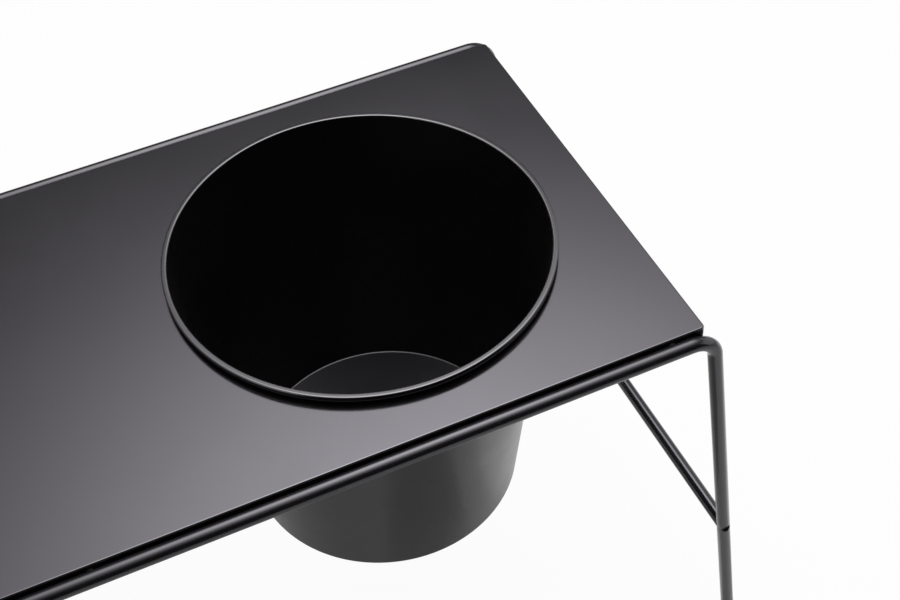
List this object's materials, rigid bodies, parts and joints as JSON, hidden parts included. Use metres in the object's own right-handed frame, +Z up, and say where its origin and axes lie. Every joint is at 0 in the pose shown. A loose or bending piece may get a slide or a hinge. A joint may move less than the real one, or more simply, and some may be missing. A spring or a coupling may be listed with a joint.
{
  "type": "planter coffee table",
  "caption": "Low steel table: a folded sheet top between two bent bars with splayed legs, and a round tapered planter that lifts out of a hole at one end.",
  "frame": {"origin": "on the floor, under the middle of the table's outer box", "axes": "+X along the length towards the planter's end, +Y across to the back, +Z up"},
  "size_m": [1.165, 0.4314, 0.4885],
  "materials": {
    "panel_coat": "satin",
    "bar_coat": "satin",
    "pot_coat": "satin",
    "screw_steel": "blackened",
    "foot_rubber": "matte",
    "spacer_plastic": "matte"
  },
  "bodies": {
    "table": {"top_panel": "panel_coat", "stiffener_left": "panel_coat", "stiffener_middle": "panel_coat", "front_frame": "bar_coat", "back_frame": "bar_coat", "left_stretcher": "bar_coat", "right_stretcher": "bar_coat", "stretcher_screw_front_left": "screw_steel", "stretcher_screw_front_right": "screw_steel", "stretcher_screw_back_left": "screw_steel", "stretcher_screw_back_right": "screw_steel", "foot_cap_front_left": "foot_rubber", "foot_cap_front_right": "foot_rubber", "foot_cap_back_left": "foot_rubber", "foot_cap_back_right": "foot_rubber", "front_spacers": "spacer_plastic", "back_spacers": "spacer_plastic", "front_panel_screws": "screw_steel", "back_panel_screws": "screw_steel"},
    "pot": {"pot_wall": "pot_coat", "pot_base": "pot_coat"}
  },
  "joints": [
    {"name": "pot_lift", "type": "slide", "parent": "table", "child": "pot", "axis": [0, 0, 1], "range_m": [0, 0.3]}
  ]
}
